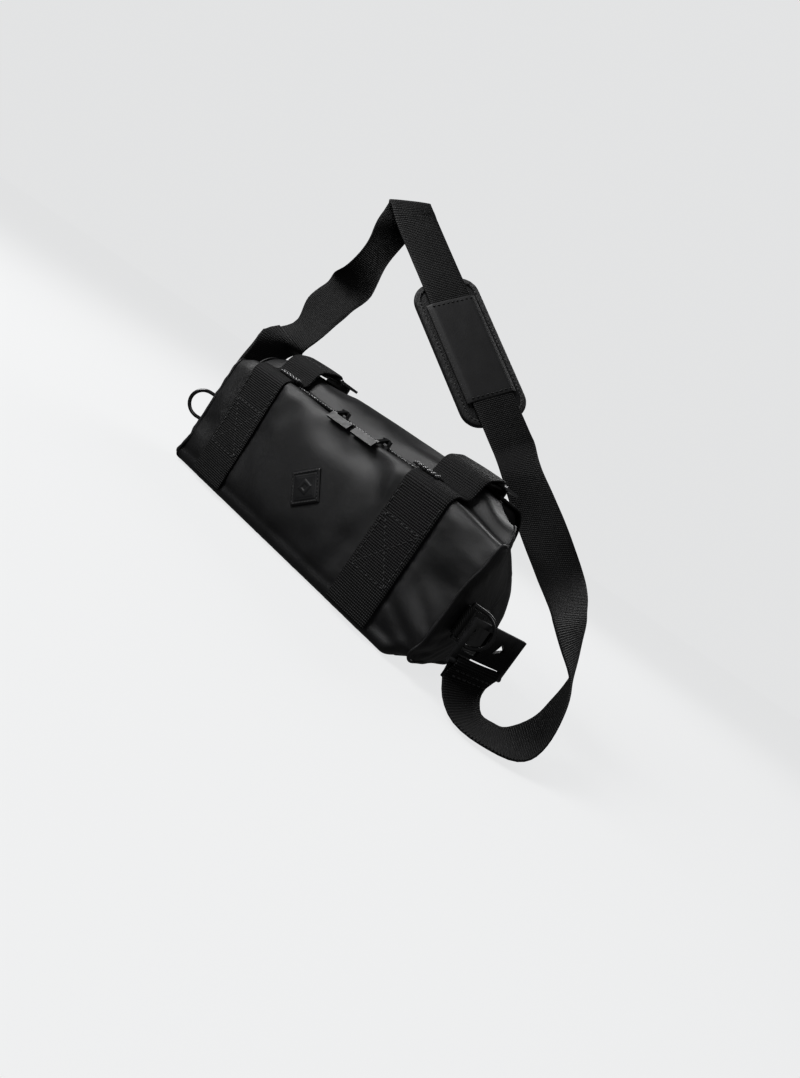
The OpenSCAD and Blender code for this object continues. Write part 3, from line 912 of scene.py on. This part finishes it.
# Both edges of the strap in mm, from its sewn end on the left to the hook plate on the right
STRAP_ROUTE = [
    [(-149.3, -45, 62), (-149.3, -7, 62)], [(-149.3, -45, 88), (-149.3, -7, 88)],
    [(-150, -42, 104), (-149.6, -7, 112)], [(-151, -31, 125), (-144, -9, 128)],
    [(-153, -19, 140), (-124, -16, 133)], [(-153, -11, 155), (-116, -14, 144)],
    [(-160, -8, 177), (-123, 2, 167)], [(-161, 3, 199), (-127, 14, 190)],
    [(-149, 5, 217), (-142, 30, 222)], [(-146, 6, 248), (-148, 38, 253)],
    off_ridge(0, Vector((0, 0, -8)))] + [off_ridge(d, Vector()) for d in range(0, 151, 25)] + [
    off_ridge(150, PAD_RUN * 7), on_pad(-128), on_pad(-104), on_pad(-92), on_pad(-40), on_pad(40),
    on_pad(86), on_pad(98),
    [(69, 54, 139), (82, 80, 162)], [(104, 64, 112), (126, 80, 134)],
    [(137, 63.5, 92), (156, 83, 111)], [(160, 47, 82), (173, 73, 98)], [(176, 27, 74), (185, 63, 87)],
    [(195, 16, 63), (193, 56, 73)],
    [(213, 7, 52), (204, 43, 51)], [(224, -9, 35), (207, 24, 31)], [(229, -26, 16), (208, 5, 19)],
    [(224, -40, 6), (202, -10, 7)], [(206, -56, 3.5), (196, -20, 6)], [(188, -60, 3.5), (188, -24, 6)],
    [(172, -54, 8), (180, -18, 11)], [(161, -45.5, 15), (177, -10, 16.5)],
]
CLIP_AT = Vector((168.7, -26.7, 26))
CLIP_W = Vector((math.cos(math.radians(65)), math.sin(math.radians(65)), 0))
CLIP_N = Vector((CLIP_W.y, -CLIP_W.x, 0))
LOOP_R = 3.1


def spline(a, b, c, d, u):
    """Catmull-Rom curve from b to c."""
    return 0.5 * (2 * b + (c - a) * u + (2 * a - 5 * b + 4 * c - d) * u * u
                  + (3 * b - a - 3 * c + d) * u ** 3)


def strap_stations():
    """(centre, side, up) in metres along the strap, ending in the loop round the clip's bar."""
    route = [[Vector(p) for p in pair] for pair in STRAP_ROUTE]
    n = len(route) - 1
    pairs = []
    for i in range(n):
        length = (sum(route[i + 1], Vector()) / 2 - sum(route[i], Vector()) / 2).length
        steps = max(3, round(length / 4.5)) if length > 9 else 1
        for k in range(steps):
            u = k / steps
            pairs.append([spline(route[max(i - 1, 0)][e], route[i][e], route[i + 1][e],
                                 route[min(i + 2, n)][e], u) for e in (0, 1)])
    pairs.append(route[n])
    centres = [(a + b) / 2 for a, b in pairs]
    out = []
    for i, (a, b) in enumerate(pairs):
        side = (a - b) / WEB_W
        side *= max(1.0, 1 / side.length)
        out.append((centres[i] * MM, side, side.cross(heading(centres, i)).normalized()))
    for deg in range(-40, 221, 20):
        a = math.radians(deg)
        away = CLIP_N * math.cos(a) + Vector((0, 0, 1)) * math.sin(a)
        out.append(((CLIP_AT + away * LOOP_R) * MM, -CLIP_W, -away))
    for a, z in ((-2.2, -5.0), (-1.5, -9.0), (-1.3, -13.0)):
        out.append(((CLIP_AT + CLIP_N * a + Vector((0, 0, z))) * MM, -CLIP_W, CLIP_N))
    return out


def edge_softened(stations):
    """Makes the up direction continuous, so the strip never flips over."""
    out = [stations[0]]
    for c, side, up in stations[1:]:
        if side.dot(out[-1][1]) < 0:
            side, up = -side, -up
        out.append((c, side, up))
    return out


STRAP = edge_softened(strap_stations())
strap = webbing("shoulder_webbing", STRAP, 1.8, 0.5, 0.0003, 2.0)
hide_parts("shoulder_strap", "strap_end_loop")


def strap_lap():
    """The doubled end of the strap, from the bag's left end to its cut edge above the top."""
    part = [(c - up * 0.0019, side * 1.005, up) for c, side, up in STRAP[:60] if 0.100 < c.z < 0.1385]
    bevel(webbing("shoulder_webbing_lap", part, 1.8, 0.3, 0.0002, 4.0), 0.0004, angle=60)


strap_lap()


def strap_stitches():
    """The crossed box on the left end, and two rows below the hook plate's loop."""
    x, y = -150.35, -26
    half = WEB_W / 2 - 3
    lines = crossed_box([(x, y - half, 65), (x, y + half, 65), (x, y + half, 92), (x, y - half, 92)],
                        (-1, 0, 0))
    for z in (-4.5, -8.5):
        a = CLIP_AT + CLIP_N * 3.2 + Vector((0, 0, z))
        lines.append(([(a - CLIP_W * half) * MM, (a + CLIP_W * half) * MM], CLIP_N))
    return lines


to_object("strap_stitching", stitch_mesh(strap_stitches()), "thread")


# -------------------- shoulder pad

PAD_L, PAD_W, PAD_T, PAD_GAP = 138.0, 60.0, 7.0, 1.4


def pad_point(a, b, c):
    """mm along, across and above the pad's near face, to metres in the row frame."""
    return (PAD_AT + PAD_RUN * a + PAD_SIDE * b + PAD_UP * c) * MM


def rounded_outline(l, w, step=3.0, r=16):
    """Closed outline of the pad in mm, with corners of radius r."""
    pts = arc(l / 2 - r, w / 2 - r, r, 0, 90, 8) + arc(-l / 2 + r, w / 2 - r, r, 90, 180, 8)
    pts += arc(-l / 2 + r, -w / 2 + r, r, 180, 270, 8) + arc(l / 2 - r, -w / 2 + r, r, 270, 360, 8)
    pts.append(pts[0].copy())
    return resample(pts, step)[:-1]


def pad_cushion():
    """The cushion as a bmesh of two faces that meet at the rim, and its pins."""
    outline = rounded_outline(PAD_L - 1, PAD_W - 1)
    n = len(outline)
    shrink = [1.0, 0.985, 0.95, 0.88, 0.78, 0.66, 0.54, 0.42, 0.3, 0.18, 0.08]
    bm = bmesh.new()
    pins = []

    def face_rows(top):
        rows = []
        for f in shrink:
            row = []
            for p in outline:
                q = Vector((math.copysign(max(abs(p.x) - (1 - f) * PAD_W / 2, 0), p.x), p.y * f))
                depth = smooth(0.0, 0.16, 1 - f)
                z = PAD_GAP + PAD_T / 2 + (1 if top else -1) * (0.9 + (PAD_T / 2 - 1.4) * depth)
                row.append(bm.verts.new(pad_point(q.x, q.y, z)))
                pins.append(1.0 if f > 0.98 else (0.6 if f > 0.94 else 0.0))
            rows.append(row)
        return rows

    top, low = face_rows(True), face_rows(False)
    for rows in (top, low):
        skin(bm, rows, around=True)
        bm.faces.new(rows[-1])
    for k in range(n):
        bm.faces.new((top[0][k], low[0][k], low[0][(k + 1) % n], top[0][(k + 1) % n]))
    bmesh.ops.triangulate(bm, faces=[f for f in bm.faces if len(f.verts) > 4])
    return bm, pins


pad_bm, pad_pins = pad_cushion()
cushion = to_object("pad_cushion", pad_bm, "pad_fabric", body="pad")
run_cloth(cushion, pad_pins, frames=16, pressure=3.0, shrink=-0.015, cap=0.0016, bend=1.5)
crease(cushion, lambda co: 0.0004 * noise.noise(co * 45))
subdivide(cushion)
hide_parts("pad_body")


def pad_binding():
    """Folded tape round the pad's rim, stitched on both faces."""
    outline = rounded_outline(PAD_L - 0.6, PAD_W - 0.6, 1.6)
    n = len(outline)
    bm = bmesh.new()
    rows = []
    mid = PAD_GAP + PAD_T / 2
    half = PAD_T / 2 - 0.9
    shape = [(0.9, 0.55 * half), (0.55, 0.9 * half), (-0.4, 1.04 * half), (-2.6, 1.12 * half),
             (-4.6, 1.12 * half), (-4.8, 0.95 * half), (-2.6, 0.8 * half), (-2.4, 0)]
    shape += [(a, -b) for a, b in shape[-2::-1]] + [(1.05, 0)]
    for i, p in enumerate(outline):
        out = outward(outline, i)
        pucker = 1 + 0.10 * noise.noise(Vector((i * 0.5, 0, 3)))
        row = []
        for a, b in shape:
            q = p + out * a
            row.append(bm.verts.new(pad_point(q.x, q.y, mid + b * pucker)))
        rows.append(row)
    skin(bm, rows, around=True, closed=True)
    obj = to_object("pad_binding", bm, "binding", body="pad")
    subdivide(obj)
    lines = []
    for side in (1, -1):
        pts = []
        for i, p in enumerate(outline + outline[:1]):
            q = p - outward(outline, i % n) * 3.6
            pts.append(pad_point(q.x, q.y, mid + side * (1.12 * half + 0.1)))
        lines.append((pts, PAD_UP * side))
    to_object("pad_binding_stitching", stitch_mesh(lines, 0.0024, 0.0012, 0.00035), "thread", "pad")


pad_binding()


def pad_sleeve():
    """Leather-like sheet over the strap, sewn down along both sides and across the ends."""
    l, w = 96.0, 46.0
    cols, rows = 26, 54
    front = []
    for i in range(rows + 1):
        a = -l / 2 + l * i / rows
        row = []
        for j in range(cols + 1):
            b = -w / 2 + w * j / cols
            edge = abs(b) / (w / 2)
            rise = 2.2 * (1 - smooth(0.80, 0.99, edge))
            end = 0.3 * smooth(0.9, 1.0, abs(a) / (l / 2))
            ripple = 0.25 * noise.noise(Vector((a * 0.05, b * 0.09, 1.0)))
            row.append((a, b, -(rise - end + ripple * (1 - edge)) + 0.75))
        front.append(row)
    bm = bmesh.new()
    grid = [[bm.verts.new(pad_point(*p)) for p in row] for row in front]
    skin(bm, grid)
    obj = to_object("pad_sleeve_front", bm, "sleeve_leather", body="pad")
    add_modifier(obj, "SOLIDIFY", thickness=0.0011, offset=0.0)
    bevel(obj, 0.0004)
    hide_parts("pad_sleeve")
    lines = []
    for a in (-l / 2 + 3, l / 2 - 3):
        lines.append(([pad_point(a, -w / 2 + 3, -2.0), pad_point(a, w / 2 - 3, -2.0)], -PAD_UP))
    for b in (-w / 2 + 1.5, w / 2 - 1.5):
        lines.append(([pad_point(-l / 2 + 2, b, 0.1), pad_point(l / 2 - 2, b, 0.1)], -PAD_UP))
    to_object("pad_sleeve_stitching", stitch_mesh(lines, 0.0028, 0.0014, 0.00045), "thread", "pad")


pad_sleeve()


# -------------------- front patch

def fabric_y(x, z):
    """Distance in mm that the filled front bulges past the flat front face at (x, z)."""
    hit, at, _, _ = shell.ray_cast(Vector((x * MM, -0.2, z * MM)), Vector((0, 1, 0)))
    return FRONT_Y - at.y / MM if hit else 0.0


PATCH_AT, PATCH_SIDE, PATCH_LEAN = Vector((7, 53)), 25.0, math.radians(38)


def front_patch():
    """Square patch set on its corner, with a turned rim, a raised frame and a plain embossed diamond."""
    c = PATCH_AT
    co, si = math.cos(PATCH_LEAN), math.sin(PATCH_LEAN)
    half = PATCH_SIDE / 2
    cells = 50
    bm = bmesh.new()
    rows = []
    tests = (-14, -7, 0, 7, 14)
    front = FRONT_Y - max(fabric_y(c.x + a, c.y + b) for a in tests for b in tests)
    for i in range(cells + 1):
        row = []
        for j in range(cells + 1):
            a = -half + 2 * half * i / cells
            b = -half + 2 * half * j / cells
            m = max(abs(a), abs(b))
            h = 1.5 - 0.9 * smooth(half - 1.1, half, m)
            h -= 0.35 * (smooth(half - 3.6, half - 3.0, m) - smooth(half - 2.4, half - 1.8, m))
            d = abs(a) + abs(b)
            h += 0.32 * (smooth(2.6, 3.1, d) - smooth(5.6, 6.1, d))
            h += 0.14 * (1 - smooth(half - 5.4, half - 4.8, m))
            x, z = a * co - b * si, a * si + b * co
            sag = 0.25 * noise.noise(Vector((x * 0.08, z * 0.08, 6)))
            row.append(bm.verts.new(Vector((c.x + x, front - h + 0.1 - sag, c.y + z)) * MM))
        rows.append(row)
    skin(bm, rows)
    obj = to_object("front_badge", bm, "patch")
    add_modifier(obj, "SOLIDIFY", thickness=0.0009, offset=-1.0)
    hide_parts("front_patch")
    e = half - 1.6
    corners = [(-e, -e), (e, -e), (e, e), (-e, e), (-e, -e)]
    pts = [(c.x + a * co - b * si, front - 1.4, c.y + a * si + b * co) for a, b in corners]
    lines = [seam(p, q, (0, -1, 0)) for p, q in zip(pts, pts[1:])]
    to_object("badge_stitching", stitch_mesh(lines, 0.0018, 0.0009, 0.0003), "thread")


front_patch()


# -------------------- CAD nodes that stay

def finish_node(name, material, width=0.0, segments=3):
    """Gives a CAD object its material, and rounds its edges by width metres."""
    obj = NODES[name]
    if not obj.material_slots:
        obj.data.materials.append(MATS[material])
    for s in obj.material_slots:
        s.material = MATS[material]
    if width:
        bevel(obj, width, segments, angle=35)
        for p in obj.data.polygons:
            p.use_smooth = True


for side in ("left", "right"):
    finish_node("hook_buckle_" + side, "black_metal", 0.0006)
    finish_node("d_ring_" + side, "black_metal")
    finish_node("slider_" + side, "black_metal", 0.0003)
    finish_node("pull_" + side, "pull_rubber", 0.0008, 4)
    finish_node("ring_tab_" + side, "binding", 0.0004)
finish_node("strap_clip", "black_metal", 0.0006)
finish_node("zip_tape_front", "binding")
finish_node("zip_tape_rear", "binding")
finish_node("zip_end_tabs", "binding", 0.0004)
finish_node("base_board", "lining_fabric", 0.0004)


def zip_rows():
    """Two rows of moulded teeth, and the raised zip ends across both webbings."""
    for name, y in (("front", -49.4), ("rear", -46.6)):
        teeth = stitch_mesh([seam((-67, y, 106.6), (67, y, 106.6), (0, 0, 1))], 0.0023, 0.001, 0.00115)
        obj = to_object("zip_row_" + name, teeth, "zip_teeth")
        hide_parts("zip_teeth_" + name)
    lines = [seam((side * 64.0, y, z), (side * 87.0, y, z), (0, -0.3, 0.95))
             for side in (-1, 1) for y, z in ((-55.2, 110.0), (-52.4, 110.7))]
    to_object("zip_end_teeth", stitch_mesh(lines, 0.0026, 0.0008, 0.0013), "zip_teeth")


zip_rows()


def tab_stitches(side):
    """Rows of stitches on the tab of one D-ring, in mm; the left tab sits further back."""
    x, (z0, z1), dy = side * (END_X + 2.6), (40.5, 55.5), 4 if side < 0 else 0
    out = (side, 0, 0)
    lines = [seam((x, y + dy, z0), (x, y + dy, z1), out) for y in (-36, -33.5, -15)]
    lines += [seam((x, -36 + dy, z), (x, -15 + dy, z), out) for z in (z0, z1)]
    name = "ring_tab_stitching_" + ("right" if side > 0 else "left")
    to_object(name, stitch_mesh(lines), "thread")


tab_stitches(-1)
tab_stitches(1)


# -------------------- floor, lights, camera

def stage_floor():
    bm = bmesh.new()
    bmesh.ops.create_grid(bm, x_segments=24, y_segments=24, size=40.0)
    mesh = bpy.data.meshes.new("studio_floor")
    bm.to_mesh(mesh)
    bm.free()
    obj = bpy.data.objects.new("studio_floor", mesh)
    obj.location.z = -0.0003
    scene.collection.objects.link(obj)
    mesh.materials.append(MATS["studio_floor"])
    obj.visible_glossy = obj.visible_diffuse = False


def area_light(name, at, target, size, power):
    data = bpy.data.lights.new(name, "AREA")
    data.energy = power
    data.shape = "RECTANGLE"
    data.size = data.size_y = size
    obj = bpy.data.objects.new(name, data)
    obj.location = at
    obj.rotation_mode = "QUATERNION"
    obj.rotation_quaternion = (Vector(at) - Vector(target)).to_track_quat("Z", "Y")
    scene.collection.objects.link(obj)


def studio_world():
    """Low light on the bag, behind a backdrop that only the camera sees bright."""
    scene.world = bpy.data.worlds.new("studio")
    scene.world.use_nodes = True
    nt = scene.world.node_tree
    background = nt.nodes["Background"]
    socket(background, "Color", BACKDROP)
    rays = add(nt, "ShaderNodeLightPath")
    strength = remap(nt, rays.outputs["Is Camera Ray"], 0.12, 0.85)
    nt.links.new(strength, background.inputs["Strength"])


CAM_AT = Vector((0.2838, -0.3818, 0.1136))
CAM_RIGHT = Vector((0.6727, 0.4855, 0.5584))
CAM_DOWN = Vector((0.5373, 0.1984, -0.8197))
CAM_LOOK = Vector((-0.5087, 0.8514, -0.1274))


def studio_camera():
    """A camera tilted against the bag, which stands level."""
    data = bpy.data.cameras.new("camera")
    data.sensor_width = 36.0
    data.lens = 20.04
    data.clip_start = 0.01
    obj = bpy.data.objects.new("camera", data)
    scene.collection.objects.link(obj)
    turn = Matrix((CAM_RIGHT, -CAM_DOWN, -CAM_LOOK)).transposed()
    obj.rotation_mode = "QUATERNION"
    obj.rotation_quaternion = turn.to_quaternion()
    obj.location = CAM_AT
    scene.camera = obj


stage_floor()
studio_world()
area_light("key", (-0.75, -0.8, 0.95), (0, 0, 0.08), 0.7, 26)
area_light("rim", (-0.1, 0.9, 1.0), (0, 0, 0.1), 0.8, 8)
area_light("fill", (0.9, -0.9, 0.6), (0, 0, 0.08), 0.4, 2.5)
studio_camera()
scene.view_settings.view_transform = "Standard"
scene.view_settings.gamma = 0.84
